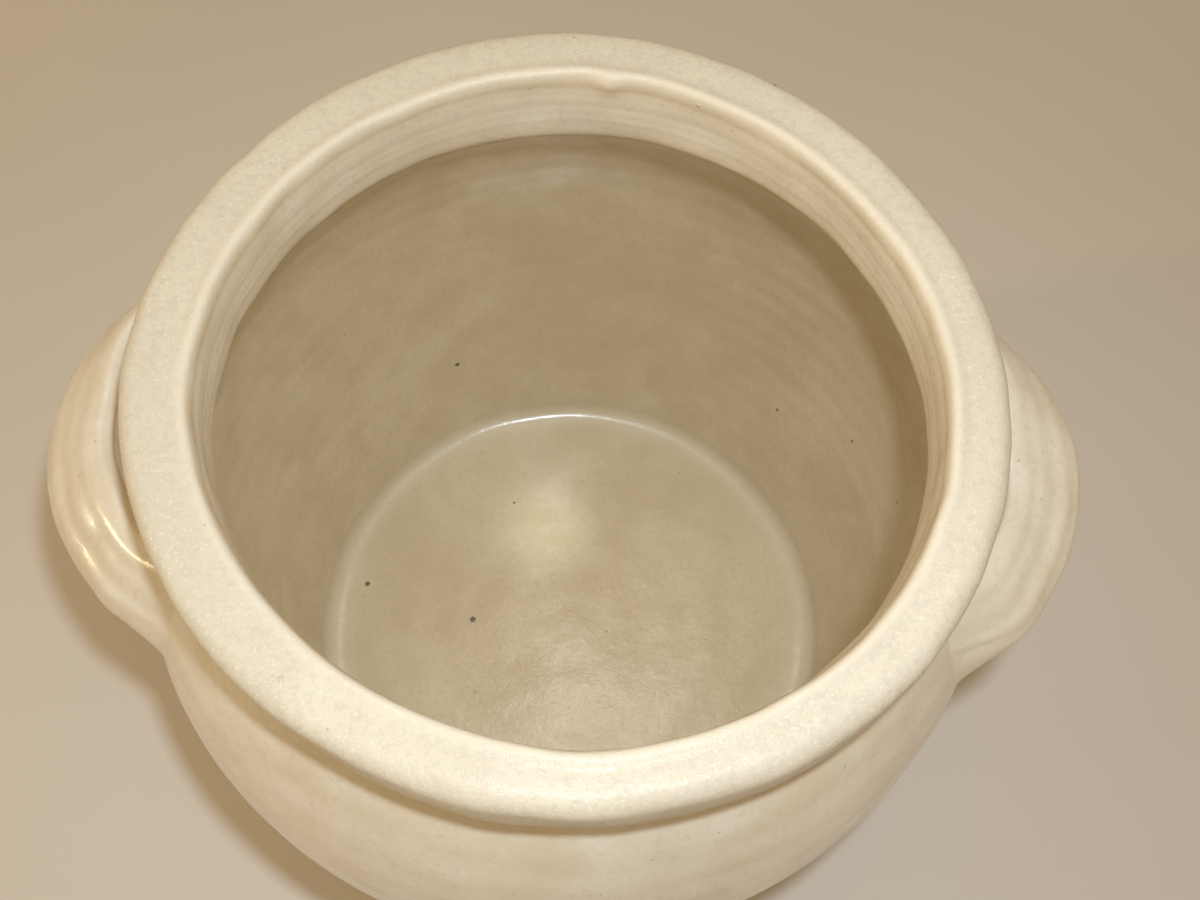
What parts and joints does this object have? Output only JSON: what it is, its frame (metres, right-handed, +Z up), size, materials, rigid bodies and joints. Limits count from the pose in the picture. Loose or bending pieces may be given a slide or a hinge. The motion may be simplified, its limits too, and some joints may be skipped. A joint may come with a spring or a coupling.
{
  "type": "stoneware crock",
  "caption": "Wide-mouthed round stoneware storage crock with a heavy flat-topped rim collar and two low ear handles of pulled strap.",
  "frame": {"origin": "centre of the flat underside", "axes": "+Z up, out of the mouth; +X towards the right handle, so that the handles lie along X; -Y towards the side that faces the viewer"},
  "size_m": [0.3478, 0.296, 0.25],
  "materials": {
    "vessel_glaze": "glossy salt glaze over cream-grey stoneware, finely mottled with tan",
    "rim_glaze": "thin satin glaze over cream stoneware, slightly granular, worn paler on the edges",
    "handle_glaze": "glossy salt glaze over cream-grey stoneware"
  },
  "bodies": {
    "root": {"crock_vessel": "vessel_glaze", "rim_collar": "rim_glaze", "left_handle": "handle_glaze", "right_handle": "handle_glaze"}
  },
  "joints": []
}
